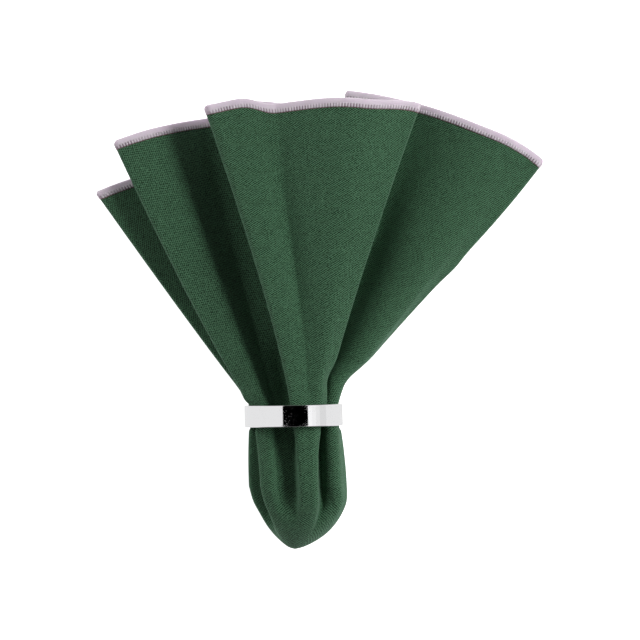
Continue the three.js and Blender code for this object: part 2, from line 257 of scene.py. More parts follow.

# Lilac thread: ribs for each stitch, with painted shade between them, fuzz, stretches where the painted
# shade in the gaps between stitches shows more, the painted shade at the ends of the folds, how far red,
# green and blue light spread in it, in metres, and its fibres and batches.
RIBS_A_STITCH = 3
FUZZ_STRETCH = (2600, 500, 1)
GAP_NOISE_STRETCH = (110, 40, 1)
GAP_NOISE_STEP = (0.42, 0.58)
GAP_LEAST = 0.4
FOLD_END_PAINTED_SHADE = 0.6
THREAD_SCATTER = (0.0016, 0.0014, 0.0016)
FIBRE_SCALE = 4200.0
BATCH_SCALE = 90.0

# Polished metal: fine hairlines round the band, soft smears and small dull marks where these are strong.
HAIRLINE_STRETCH = (300, 9000, 300)
SMEAR_SCALE = 160.0
HAIRLINE_SHARE = 0.4
METAL_ROUGHNESS = (0.02, 0.09)
MARK_SCALE = 1900.0
MARK_SMEAR = 0.4
MARK_STEP = (0.56, 0.72)
MARK_ROUGHNESS = 0.2

# The studio, in metres: places and sizes of the soft lights, and half the width of the table.
KEY_PLACE = (0.93, 0.28, 0.81)
KEY_SIZE = (1.0, 0.42)
FILL_PLACE = (-1.06, 0.45, 0.55)
FILL_SIZE = (1.0, 0.6)
TABLE_HALF_WIDTH = 3
WHITE = (1, 1, 1)
BLACK = (0, 0, 0)

# The camera: the middle of the picture, in its pixels right of and above the middle of the ring, and the
# millimetres that a pixel shows. The sensor is in millimetres, and how far the view goes in metres.
PICTURE_MIDDLE = (26.25, 95)
PIXEL_SIZE = 0.47
SENSOR_WIDTH = 36
VIEW_END = 100

# Curved walls that show in the ring: angles from straight up, to the left first, and their brightness.
WALL_RADIUS = 1.5
WALL_HALF_LENGTH = 1.5
WALL_STEPS = 12
WALLS = [
    ("left wall", -180, -25, 0.85),
    ("dark ceiling", -25, 34, 0),
    ("right wall high", 34, 44, 1.02),
    ("right wall upper", 44, 54, 0.95),
    ("right wall", 54, 64, 0.86),
    ("right wall lower", 64, 82, 0.76),
    ("right wall low", 82, 180, 0.86),
]


def mix(a, b, share):
    """Value at a share of the way from one value to another."""
    return a + (b - a) * share


def clamped(share):
    """Share held between 0 and 1."""
    return min(1, max(0, share))


def smooth_step(share):
    """Soft step from 0 to 1."""
    held = clamped(share)
    return held * held * (3 - 2 * held)


def heading_between(a, b):
    """Heading of the belt's straight run from one pin to the next."""
    along = b["x"] - a["x"]
    up = b["z"] - a["z"]
    offset = b["side"] * b["radius"] - a["side"] * a["radius"]
    return math.atan2(up, along) + math.asin(offset / math.hypot(along, up))


def touch_point(pin, heading):
    """Point where the belt touches a pin while it has a heading."""
    bend = pin["side"] * pin["radius"]
    return (pin["x"] - bend * math.sin(heading), pin["z"] + bend * math.cos(heading))


def bend_angle(pin, arriving, leaving):
    """Angle through which the belt bends round a pin."""
    bend = (arriving - leaving) * pin["side"]
    return (bend + QUARTER_TURN) % FULL_TURN - QUARTER_TURN


def section_line(section, lift, fineness):
    """Points of one section's closed belt line, each with its order through the folds."""
    pins = []
    for fold in FOLDS:
        x, z, radius = getattr(fold, section)
        pins.append({"x": x, "z": z + lift, "radius": radius, "side": fold.side})
    count = len(pins)
    headings = [heading_between(pins[i], pins[(i + 1) % count]) for i in range(count)]
    points = []
    for i, (fold, pin) in enumerate(zip(FOLDS, pins)):
        bend = bend_angle(pin, headings[i - 1], headings[i])
        is_soft = fold.edge[2] > SOFT_RADIUS
        bend_parts = (SOFT_BEND_PARTS if is_soft else SHARP_BEND_PARTS) * min(fineness, MOST_BEND_FINENESS)
        for part in range(bend_parts + 1):
            heading = headings[i - 1] - pin["side"] * bend * part / bend_parts
            order = i + BEND_SPAN * (2 * part / bend_parts - 1)
            points.append((touch_point(pin, heading), i, i, 0, order))
        start = touch_point(pin, headings[i])
        end = touch_point(pins[(i + 1) % count], headings[i])
        panel_parts = fold.parts * fineness
        for part in range(1, panel_parts):
            share = part / panel_parts
            spot = (mix(start[0], end[0], share), mix(start[1], end[1], share))
            order = i + mix(BEND_SPAN, 1 - BEND_SPAN, share)
            points.append((spot, i, (i + 1) % count, share, order))
    return points


class BeltPoint:
    """One point of the belt line in all three sections, with the fold table's values there."""

    def __init__(self, edge, neck, belly, middles):
        self.edge, before, after, share, self.order = edge
        self.neck = neck[0]
        self.belly = belly[0]
        for column in ("settle", "flare", "sway"):
            first = getattr(FOLDS[before], column)
            last = getattr(FOLDS[after], column)
            setattr(self, column, mix(first, last, share))
        self.reach = self.reach_between(middles)
        self.set_back = HEM_ROUND * smooth_step(self.fold_end())

    def reach_between(self, middles):
        """Free length of the cloth, which changes evenly from the middle of one fold to that of the next.

        The hidden layers behind the right-hand and the left-hand fold are drawn in close to them.
        """
        before = math.floor(self.order) % len(FOLDS)
        after = (before + 1) % len(FOLDS)
        share = (self.edge[0] - middles[before]) / (middles[after] - middles[before])
        held = clamped(share)
        eased = smooth_step(held)
        if FOLDS[before].name == "right_end":
            eased = 1 - (1 - held) ** 3
        if FOLDS[after].name == "rear_left":
            eased = held**3
        return mix(FOLDS[before].reach, FOLDS[after].reach, eased)

    def fold_end(self):
        """1 in the middle of a sharp fold's bend, falling to 0 at both ends of the bend."""
        nearest = round(self.order)
        if FOLDS[nearest % len(FOLDS)].edge[2] > SOFT_RADIUS:
            return 0
        return max(0, 1 - abs(self.order - nearest) / BEND_SPAN)

    def clock(self):
        """Direction in which the cloth leaves the tip, in radians."""
        before = math.floor(self.order)
        return math.radians(mix(clock_of(before), clock_of(before + 1), self.order - before))

    def fan_spot(self, share):
        """Point of the fan at a share of the way from the neck to the edge, with its creases."""
        spread = self.edge[0] - self.neck[0]
        drop = self.edge[1] - self.neck[1]
        forward = math.sqrt(self.reach**2 - spread**2 - drop**2)
        y = NECK_HALF + forward * share
        x = self.neck[0] + spread * max(share, 0) ** self.flare
        x += self.sway * math.sin(math.pi * share * share)
        x += self.rightness() * bulge_out(KINK, y)
        aside = smooth_step((abs(x) - SIDE_START[0]) / (SIDE_START[1] - SIDE_START[0]))
        if x > 0:
            x += aside * sum(bulge_out(nip, y) for nip in NIPS)
        else:
            x -= aside * bulge_out(SWELL, y)
        left = 1 - min(share / self.settle, 1)
        z = self.neck[1] + drop * (1 - left * left)
        turn = FULL_TURN * x / WAVE_LENGTH + WAVE_START
        z = FLOOR_LAYER + (z - FLOOR_LAYER) * (1 + WAVE_RISE * share * math.sin(turn))
        return Vector((x, y, z + self.relief(x, y, z, share)))

    def rightness(self):
        """1 on the right-hand fold, fading to 0 over the panels beside it."""
        away = abs(self.order - FOLD_INDEX["right_end"])
        return max(0, 1 - away)

    def relief(self, x, y, z, share):
        """Rise of the creases, of the cloth's unevenness and of the pucker along its edge."""
        lifted = smooth_step((z - FLOOR_LAYER) / LIFT_FULL)
        ripple = noise.noise(Vector((x, y, 0)) / RIPPLE_LENGTH)
        rise = RIPPLE_RISE * ripple * lifted * smooth_step(share / RIPPLE_START)
        strip = (1 - share) * self.reach
        pucker = noise.noise(Vector((x / PUCKER_LENGTH, 0, self.order * PUCKER_STEP)))
        rise += PUCKER_RISE * pucker * math.exp(-strip / PUCKER_DEPTH) * lifted
        for crease in CREASES:
            if FOLD_INDEX[crease.first] <= self.order <= FOLD_INDEX[crease.last]:
                rise += crease_rise(crease, x, y)
        return rise


def bulge_out(bulge, y):
    """How far a bulge stands out at a distance from the ring."""
    return bulge.out * math.exp(-(((y - bulge.y) / bulge.width) ** 2))


def clock_of(index):
    """Clock direction of a fold in degrees, counted on past a full turn."""
    lap, row = divmod(index, len(FOLDS))
    return FOLDS[row].clock - 360 * lap


def crease_rise(crease, x, y):
    """Rise of a crease at a place in plan: round across it and fading at its ends."""
    start, end = Vector(crease.start), Vector(crease.end)
    run = end - start
    share = (Vector((x, y)) - start).dot(run) / run.length_squared
    held = clamped(share)
    away = (Vector((x, y)) - start - run * held).length
    fade = smooth_step(CREASE_FADE - abs(2 * share - 1))
    return crease.rise * fade * math.exp(-((away / crease.width) ** 2))


def belt_points(fineness):
    """The belt line round the gather, with its three sections matched point by point."""
    edge = section_line("edge", 0, fineness)
    neck = section_line("neck", AXIS_HEIGHT, fineness)
    belly = section_line("belly", AXIS_HEIGHT, fineness)
    middles = {order: spot[0] for spot, before, after, share, order in edge if order == int(order)}
    return [BeltPoint(*matched, middles) for matched in zip(edge, neck, belly)]


def belly_row(belt, y):
    """Row of the gather below the upper end of the neck, pressed in by the ring as a whole."""
    passed = (NECK_HALF - y) / (NECK_HALF - BELLY_Y)
    eased = 1 - (1 - passed) ** 2
    over = BELLY_LAG * (passed**2 - eased)
    spots = []
    for point in belt:
        x = mix(point.neck[0], point.belly[0], eased) + over
        z = mix(point.neck[1], point.belly[1], eased) - AXIS_HEIGHT
        spots.append((x, z))
    most = NECK_MOST + NECK_BULGE * max(0, -NECK_HALF - y)
    press = min(1, most / max(math.hypot(x, z) for x, z in spots))
    return [Vector((x * press, y, AXIS_HEIGHT + z * press)) for x, z in spots]


def nose_section(place):
    """Section of the nose at a place counted in rows of its table, on a smooth curve through them."""
    row = min(int(place), len(NOSE) - 2)
    share = place - row
    before = NOSE[max(row - 1, 0)]
    after = NOSE[min(row + 2, len(NOSE) - 1)]
    values = []
    for a, b, c, d in zip(before, NOSE[row], NOSE[row + 1], after):
        bend = 2 * a - 5 * b + 4 * c - d
        twist = 3 * (b - c) + d - a
        values.append(b + 0.5 * share * (c - a + share * (bend + share * twist)))
    return NoseSection(*values)


def nose_row(belt, place):
    """Row of the nose, where the folds open into a smooth cone."""
    section = nose_section(place)
    share = (section.y - BELLY_Y) / (NOSE[-1].y - BELLY_Y)
    middle_z = AXIS_HEIGHT + mix(BELLY_CENTRE[1], TIP_Z, share)
    size = max(section.size, 0)
    opened = clamped(section.opened)
    row = []
    for point in belt:
        clock = point.clock()
        folded_x = point.belly[0] - BELLY_CENTRE[0]
        folded_z = point.belly[1] - AXIS_HEIGHT - BELLY_CENTRE[1]
        hollow = HOLLOW_HOLD * math.exp(-(((clock - HOLLOW_CLOCK) / HOLLOW_SPAN) ** 2))
        loose = opened ** (hollow + mix(1, LEFT_HOLD, max(0, -math.cos(clock))))
        x = mix(folded_x, BELLY_HALF_SIZE[0] * math.cos(clock), loose)
        z = mix(folded_z, BELLY_HALF_SIZE[1] * math.sin(clock), loose)
        row.append(Vector((section.x + x * size, section.y, middle_z + z * size)))
    return row


def strip_share(point, strip):
    """Share of the reach that is left before a strip along the edge, which is rounded at the fold ends."""
    set_back = point.set_back * max(0, 1 - strip / EDGING_PROFILE[0][0])
    return 1 - (strip + set_back) / point.reach


def cloth_rows(belt):
    """Rows of the cloth's middle surface, from the tip to its edge inside the thread."""
    rows = []
    last = len(NOSE) - 1
    for i in range(NOSE_ROWS):
        rows.append(nose_row(belt, last * (1 - i / NOSE_ROWS)))
    for i in range(BELLY_ROWS):
        rows.append(belly_row(belt, mix(BELLY_Y, -NECK_HALF, i / BELLY_ROWS)))
    for i in range(NECK_ROWS):
        rows.append(belly_row(belt, mix(-NECK_HALF, NECK_HALF, i / NECK_ROWS)))
    for i in range(FAN_ROWS + 1):
        share = (i / FAN_ROWS) ** FAN_ROW_CROWDING
        rows.append([p.fan_spot(share * strip_share(p, CLOTH_UNDER_EDGING)) for p in belt])
    return rows


def placed(spot):
    """Place in the frame, in metres, of a spot in millimetres from the ring's middle on the table."""
    return Vector((RING_MIDDLE.x, RING_MIDDLE.y, 0)) + spot * MM


def steps_round(row):
    """Length passed at each point on the way round a row, with the whole way round at the end."""
    passed = [0.0]
    for i in range(len(row)):
        passed.append(passed[-1] + (row[(i + 1) % len(row)] - row[i]).length)
    return passed


def steps_along(rows, depth_share):
    """Length passed along each thread from the tip, row by row, with a share of its rise and fall."""
    scale = Vector((1, 1, depth_share))
    lengths = [[0.0] * len(rows[0])]
    for before, row in zip(rows, rows[1:]):
        steps = [((b - a) * scale).length for a, b in zip(before, row)]
        lengths.append([length + step for length, step in zip(lengths[-1], steps)])
    return lengths


class WeaveChart:
    """Flat places of the cloth's points. Each panel between two sharp tucks is laid out by itself."""

    def __init__(self, belt, rows):
        self.seams = [i for i, fold in enumerate(FOLDS) if fold.side == TUCK and fold.edge[2] < SOFT_RADIUS]
        self.orders = [point.order for point in belt]
        self.passed = [steps_round(row) for row in rows]
        self.lengths = steps_along(rows, depth_share=1)
        lowered = steps_along(rows, GATHER_DEPTH_SHARE)
        self.along = [sum(lengths) / len(lengths) for lengths in lowered]
        edge = steps_round([Vector(point.edge) for point in belt])
        self.turns = [WEAVE_TURN - FULL_TURN * step / edge[-1] for step in edge]
        self.middles = [self.middle(panel) for panel in range(len(self.seams))]

    def panel(self, column):
        """Number of the panel that a column of points belongs to."""
        return sum(self.orders[column] >= seam for seam in self.seams) % len(self.seams)

    def middle(self, panel):
        """Column in the middle of a panel."""
        first, last = self.seams[panel - 1], self.seams[panel]
        wanted = (first + (last - first) % len(FOLDS) / 2) % len(FOLDS)
        return min(range(len(self.orders)), key=lambda column: abs(self.orders[column] - wanted))

    def aside(self, panel, column, row):
        """Length along a row from the middle of a panel to a column."""
        passed = self.passed[row]
        around = passed[-1]
        if around == 0:
            return 0.0
        step = passed[column] - passed[self.middles[panel]]
        return (step + around / 2) % around - around / 2

    def fan_place(self, panel, column, row):
        """Place on the round cloth, where each thread leaves its middle in its own direction."""
        middle = self.middles[panel]
        lengths = self.lengths[row]
        turn = self.turns[middle] - self.aside(panel, column, row) / lengths[middle]
        away = lengths[column % len(lengths)] * MM
        return (away * math.cos(turn), away * math.sin(turn))

    def gather_place(self, panel, column, row):
        """Place round and along the gather below the ring."""
        return (self.aside(panel, column, row) * MM, self.along[row] * MM)


def grid_cells(bm, columns, rows):
    """Column and row of each vertex of a grid that is still flat."""
    cells = {}
    for vert in bm.verts:
        column = round((vert.co.x + 1) / 2 * columns)
        row = round((vert.co.y + 1) / 2 * rows)
        cells[vert] = (column, row)
    return cells


def add_object(name, bm, material):
    """Object of a finished bmesh with its material."""
    mesh = bpy.data.meshes.new(name)
    bm.to_mesh(mesh)
    bm.free()
    mesh.materials.append(material)
    added = bpy.data.objects.new(name, mesh)
    bpy.context.scene.collection.objects.link(added)
    return added


def new_piece(name, bm, material):
    """Piece that moves with the part and takes its finish from a slot."""
    piece = add_object(name, bm, material)
    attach(piece, BODY)
    return piece


class Nodes:
    """Small helper that adds and links the nodes of one material."""

    def __init__(self, name):
        self.material = bpy.data.materials.new(name)
        self.material.use_nodes = True
        self.tree = self.material.node_tree
        self.shader = self.tree.nodes["Principled BSDF"]

    def add(self, kind, inputs=(), **settings):
        """New node with its settings, fed by sockets or by plain values."""
        node = self.tree.nodes.new(kind)
        for key, value in settings.items():
            setattr(node, key, value)
        for socket, value in dict(inputs).items():
            self.feed(node.inputs[socket], value)
        return node

    def feed(self, socket, value):
        """Links a socket to another, or sets it to a plain value."""
        if isinstance(value, bpy.types.NodeSocket):
            self.tree.links.new(value, socket)
        else:
            socket.default_value = value

    def math(self, operation, first, second=0.0):
        node = self.add("ShaderNodeMath", {0: first, 1: second}, operation=operation)
        return node.outputs[0]

    def blend(self, share, first, second):
        """Mix of two colours, by the colour sockets that follow those for numbers and vectors."""
        node = self.add("ShaderNodeMix", data_type="RGBA")
        self.feed(node.inputs["Factor"], share)
        self.feed(node.inputs[6], first)
        self.feed(node.inputs[7], second)
        return node.outputs[2]

    def noise(self, vector, scale=1.0, detail=2.0):
        node = self.add("ShaderNodeTexNoise", {"Vector": vector, "Scale": scale, "Detail": detail})
        return node.outputs["Fac"]

    def stretched(self, vector, scale):
        node = self.add("ShaderNodeMapping", {"Vector": vector, "Scale": scale})
        return node.outputs["Vector"]

    def spread(self, value, low, high):
        """Value from 0 to 1 spread over a range."""
        node = self.add("ShaderNodeMapRange", {"Value": value, "To Min": low, "To Max": high})
        return node.outputs["Result"]

    def step(self, value, start, end):
        """Soft step from 0 to 1 between two values."""
        inputs = {"Value": value, "From Min": start, "From Max": end}
        node = self.add("ShaderNodeMapRange", inputs, interpolation_type="SMOOTHSTEP")
        return node.outputs["Result"]

    def bump(self, height, strength, distance):
        """Fine relief of the whole material."""
        node = self.add("ShaderNodeBump", {"Height": height, "Strength": strength, "Distance": distance})
        self.feed(self.shader.inputs["Normal"], node.outputs["Normal"])

    def set(self, **sockets):
        """Feeds the shader's own sockets, named with _ for each space."""
        for name, value in sockets.items():
            self.feed(self.shader.inputs[name.replace("_", " ")], value)


def linear(colour):
    """Colour with full cover, for a shader socket."""
    return (*colour, 1.0)


def weave_material(cloth):
    """Plain weave of green yarn: over and under crossings with painted light on the yarns on top and painted
    shade on those beneath, uneven yarns and soft fibre.
    """
    nodes = Nodes("green plain weave")
    flat = nodes.add("ShaderNodeUVMap", uv_map="weave").outputs["UV"]
    even = nodes.stretched(flat, (1 / cloth.warp_spacing, 1 / cloth.weft_spacing, 1))
    wander = nodes.add("ShaderNodeTexNoise", {"Vector": flat, "Scale": YARN_WANDER_SCALE, "Detail": 1.0})
    moved = {0: wander.outputs["Color"], 1: (YARN_WANDER, YARN_WANDER, 0), 2: even}
    threads = nodes.add("ShaderNodeVectorMath", moved, operation="MULTIPLY_ADD").outputs[0]
    parts = nodes.add("ShaderNodeSeparateXYZ", {"Vector": threads})
    across = nodes.math("SINE", nodes.math("MULTIPLY", parts.outputs["X"], math.pi))
    along = nodes.math("SINE", nodes.math("MULTIPLY", parts.outputs["Y"], math.pi))
    crossing = nodes.math("MULTIPLY", across, along)
    pillow = nodes.math("POWER", nodes.math("ABSOLUTE", crossing), YARN_PLUMPNESS)
    warp = nodes.noise(nodes.stretched(threads, (1, SLUB_STRETCH, 1)), detail=3.0)
    weft = nodes.noise(nodes.stretched(threads, (SLUB_STRETCH, 1, 1)), detail=3.0)
    is_warp = nodes.spread(crossing, low=0.5, high=1.0)
    warp_slub = nodes.math("MULTIPLY", warp, is_warp)
    slub = nodes.math("ADD", warp_slub, nodes.math("MULTIPLY", weft, WEFT_SHARE))
    # Painted light and shade of the weave: yarns that lie on top are made lighter and those beneath darker.
    over = nodes.math("MULTIPLY", nodes.math("SIGN", crossing), pillow)
    tone = nodes.math("ADD", over, nodes.spread(slub, low=0.2, high=0.8))
    fading = nodes.noise(flat, FADING_SCALE, detail=3.0)
    tone = nodes.math("ADD", tone, nodes.spread(fading, -FADING_CHANGE, FADING_CHANGE))
    for stretch, detail, change in TONE_NOISES:
        patch = nodes.noise(nodes.stretched(threads, stretch), detail=detail)
        tone = nodes.math("ADD", tone, nodes.spread(patch, -change, change))
    colour = nodes.blend(tone, linear(cloth.painted_shade_and_tone_colour), linear(cloth.painted_light_and_tone_colour))
    nodes.set(Base_Color=colour, Roughness=0.92, Sheen_Weight=0.22, Sheen_Roughness=0.45)
    nodes.set(Sheen_Tint=linear(cloth.fibre_colour), Specular_IOR_Level=0.25)
    height = nodes.math("ADD", pillow, nodes.math("MULTIPLY", slub, 0.5))
    nodes.bump(height, strength=0.6, distance=cloth.weft_spacing * 0.4)
    return nodes.material


def thread_material(edging):
    """Dense lilac thread of the band, with painted shade between its ribs, in the gaps between the stitches,
    at the ends of sharp folds and along its inner edge.
    """
    nodes = Nodes("lilac edge thread")
    place = nodes.add("ShaderNodeUVMap", uv_map="edge").outputs["UV"]
    parts = nodes.add("ShaderNodeSeparateXYZ", {"Vector": place})
    # Ribs of the wrapped thread, with painted shade between them, mixed with random fuzz.
    rib_turn = FULL_TURN / (edging.stitch_spacing / RIBS_A_STITCH)
    ribs = nodes.math("MULTIPLY", parts.outputs["X"], rib_turn)
    rib = nodes.spread(nodes.math("SINE", ribs), low=0.35, high=0.65)
    fuzz = nodes.noise(nodes.stretched(place, FUZZ_STRETCH))
    # Painted shade in the gaps between the stitches, stronger in some stretches than in others.
    inner = nodes.step(parts.outputs["Y"], GAP_START[0] * MM, GAP_START[1] * MM)
    openness = nodes.noise(nodes.stretched(place, GAP_NOISE_STRETCH), detail=1.0)
    is_open = nodes.step(openness, *GAP_NOISE_STEP)
    gaps = nodes.math("MULTIPLY", inner, nodes.spread(is_open, GAP_LEAST, 1.0))
    # Painted shade along the band's inner edge, where it meets the cloth.
    seam = nodes.step(parts.outputs["Y"], INNER_EDGE_SHADE_START[0] * MM, INNER_EDGE_SHADE_START[1] * MM)
    tone = nodes.math("ADD", nodes.math("MULTIPLY", rib, 0.5), nodes.math("MULTIPLY", fuzz, 0.5))
    colour = nodes.blend(tone, linear(edging.painted_shade_and_tone_colour), linear(edging.thread_colour))
    # Painted shade on the rounded ends of sharp folds, where the band's bend faces the light.
    fold_end = nodes.add("ShaderNodeAttribute", attribute_name="fold end").outputs["Fac"]
    darker = nodes.math("MULTIPLY", fold_end, FOLD_END_PAINTED_SHADE)
    colour = nodes.blend(darker, colour, linear(edging.deep_painted_shade_colour))
    colour = nodes.blend(gaps, colour, linear(edging.deep_painted_shade_colour))
    colour = nodes.blend(seam, colour, linear(edging.inner_edge_shade_colour))
    nodes.set(Base_Color=colour, Roughness=0.75, Sheen_Weight=0.15, Specular_IOR_Level=0.3)
    nodes.set(Subsurface_Weight=0.5, Subsurface_Radius=THREAD_SCATTER, Subsurface_Scale=1.0)
    height = nodes.math("ADD", rib, nodes.math("MULTIPLY", fuzz, 0.4))
    nodes.bump(height, strength=0.5, distance=0.12 * MM)
    return nodes.material


def stitch_material(edging):
    """Twisted lilac thread of single stitches."""
    nodes = Nodes("lilac stitch thread")
    place = nodes.add("ShaderNodeTexCoord").outputs["Object"]
    fibre = nodes.noise(place, FIBRE_SCALE)
    batch = nodes.noise(place, BATCH_SCALE)
    fibre_tone = nodes.spread(fibre, low=0.1, high=0.8)
    tone = nodes.math("ADD", fibre_tone, nodes.spread(batch, low=-0.15, high=0.25))
    colour = nodes.blend(tone, linear(edging.painted_shade_and_tone_colour), linear(edging.thread_colour))
    nodes.set(Base_Color=colour, Roughness=0.7, Sheen_Weight=0.15, Specular_IOR_Level=0.3)
    nodes.set(Subsurface_Weight=0.5, Subsurface_Radius=THREAD_SCATTER, Subsurface_Scale=1.0)
    nodes.bump(fibre, strength=0.4, distance=0.1 * MM)
    return nodes.material


def polished_material(ring):
    """Polished metal with faint hairlines and small dull marks from use."""
    nodes = Nodes("polished metal")
    place = nodes.add("ShaderNodeTexCoord").outputs["Object"]
    hairline = nodes.noise(nodes.stretched(place, HAIRLINE_STRETCH), detail=3.0)
    smear = nodes.noise(place, SMEAR_SCALE, detail=3.0)
    fine_wear = nodes.math("MULTIPLY", hairline, HAIRLINE_SHARE)
    wear = nodes.math("ADD", fine_wear, nodes.math("MULTIPLY", smear, 1 - HAIRLINE_SHARE))
    dust = nodes.noise(place, MARK_SCALE)
    dust = nodes.math("ADD", dust, nodes.spread(smear, -MARK_SMEAR, MARK_SMEAR))
    marks = nodes.math("MULTIPLY", nodes.step(dust, *MARK_STEP), MARK_ROUGHNESS)
    roughness = nodes.math("ADD", nodes.spread(wear, *METAL_ROUGHNESS), marks)
    nodes.set(Base_Color=linear(ring.metal_colour), Metallic=1.0, Roughness=roughness)
    nodes.bump(hairline, strength=0.04, distance=0.02 * MM)
    return nodes.material


class ClothProperties(PropertyGroup):
    thickness: FloatProperty(
        name="Thickness", description="Thickness of the cloth", default=0.0007, unit="LENGTH"
    )
    warp_spacing: FloatProperty(
        name="Warp spacing", description="Distance between two lengthwise yarns", unit="LENGTH",
        default=0.00078,
    )
    weft_spacing: FloatProperty(
        name="Weft spacing", description="Distance between two crosswise yarns", unit="LENGTH",
        default=0.00051,
    )
    flat_size: FloatProperty(
        name="Flat size", description="Width of the round cloth laid flat", default=0.425, unit="LENGTH"
    )
    # Painted shade of the yarn beneath at a crossing, and the dark end of its random tones.
    painted_shade_and_tone_colour: FloatVectorProperty(
        name="Shade", description="Colour of the yarn in its crossings", subtype="COLOR",
        default=(0.009, 0.026, 0.013),
    )
    # Painted light of the yarn on top at a crossing, and the light end of its random tones.
    painted_light_and_tone_colour: FloatVectorProperty(
        name="Light", description="Colour of the yarn on top", subtype="COLOR",
        default=(0.078, 0.185, 0.101),
    )
    fibre_colour: FloatVectorProperty(
        name="Fibre", description="Tint of the loose fibres", subtype="COLOR", default=(0.5, 0.75, 0.6)
    )


class EdgingProperties(PropertyGroup):
    stitch_spacing: FloatProperty(
        name="Stitch spacing", description="Distance between two stitches", default=0.00135, unit="LENGTH"
    )
    stitch_length: FloatProperty(
        name="Stitch length", description="Length of a stitch across the edge", default=0.0021, unit="LENGTH"
    )
    stitch_width: FloatProperty(
        name="Stitch width", description="Width of a stitch along the edge", default=0.00098, unit="LENGTH"
    )
    stitch_height: FloatProperty(
        name="Stitch height", description="Height of a stitch over the cloth", default=0.0006, unit="LENGTH"
    )
    thread_colour: FloatVectorProperty(
        name="Thread", description="Colour of the thread", subtype="COLOR", default=(0.72, 0.645, 0.72)
    )
    # Painted shade between the threads of the band, and the dark end of the stitches' random fibre tones.
    painted_shade_and_tone_colour: FloatVectorProperty(
        name="Shade", description="Colour between the threads", subtype="COLOR", default=(0.62, 0.54, 0.61)
    )
    # Painted shade in the gaps between the stitches and on the rounded ends of sharp folds.
    deep_painted_shade_colour: FloatVectorProperty(
        name="Gap", description="Colour between the stitches", subtype="COLOR", default=(0.3, 0.22, 0.27)
    )
    # Painted shade along the band's inner edge, where it meets the cloth.
    inner_edge_shade_colour: FloatVectorProperty(
        name="Seam", description="Colour of the seam inside the stitches", subtype="COLOR",
        default=(0.16, 0.09, 0.09),
    )


class RingProperties(PropertyGroup):
    edge_radius: FloatProperty(
        name="Edge radius", description="Rounding of the band's edges", default=0.0004, unit="LENGTH"
    )
    facets: IntProperty(name="Facets", description="Steps round the band", default=192, min=24)
    metal_colour: FloatVectorProperty(
        name="Metal", description="Colour of the polished metal", subtype="COLOR", default=(0.9, 0.9, 0.91)
    )


class StageProperties(PropertyGroup):
    camera_height: FloatProperty(
        name="Camera height", description="Height of the camera over the table", default=4.0, unit="LENGTH"
    )
    view_width: FloatProperty(
        name="View width", description="Width of the table in view", default=0.3008, unit="LENGTH"
    )
    key_power: FloatProperty(
        name="Key power", description="Power of the light on the right, in watts", default=14.9
    )
    fill_power: FloatProperty(
        name="Fill power", description="Power of the light on the left, in watts", default=7.2
    )
    room_light: FloatProperty(name="Room light", description="Even light from the whole room", default=0.11)
    floor_glow: FloatProperty(
        name="Floor glow", description="Light that the table gives by itself", default=0.9
    )
    floor_colour: FloatVectorProperty(
        name="Floor", description="Colour of the table", subtype="COLOR", default=(0.92, 0.92, 0.92)
    )


class NAPKIN_OT_cloth(Operator):
    """Make the gathered cloth as one thin sheet on its folds"""

    bl_idname = "napkin.make_cloth"
    bl_label = "Make cloth"

    def execute(self, context):
        settings = context.scene.napkin_cloth
        belt = belt_points(fineness=1)
        rows = cloth_rows(belt)
        columns, last_row = len(belt), len(rows) - 1
        chart = WeaveChart(belt, rows)
        bm = bmesh.new()
        bmesh.ops.create_grid(bm, x_segments=columns, y_segments=last_row, size=1)
        flat = bm.loops.layers.uv.new("weave")
        cells = grid_cells(bm, columns, last_row)
        for face in bm.faces:
            face.smooth = True
            panel = chart.panel(min(cells[vert][0] for vert in face.verts))
            is_gather = min(cells[vert][1] for vert in face.verts) < RING_ROW
            place = chart.gather_place if is_gather else chart.fan_place
            for loop in face.loops:
                loop[flat].uv = place(panel, *cells[loop.vert])
        for vert, (i, j) in cells.items():
            vert.co = placed(rows[j][i % columns])
        bmesh.ops.remove_doubles(bm, verts=bm.verts, dist=MERGE_DISTANCE)
        bmesh.ops.dissolve_degenerate(bm, edges=bm.edges, dist=MERGE_DISTANCE)
        piece = new_piece("napkin_cloth", bm, weave_material(settings))
        wall = piece.modifiers.new("thickness", "SOLIDIFY")
        wall.thickness = settings.thickness
        wall.offset = 0
        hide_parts("napkin")
        return {"FINISHED"}


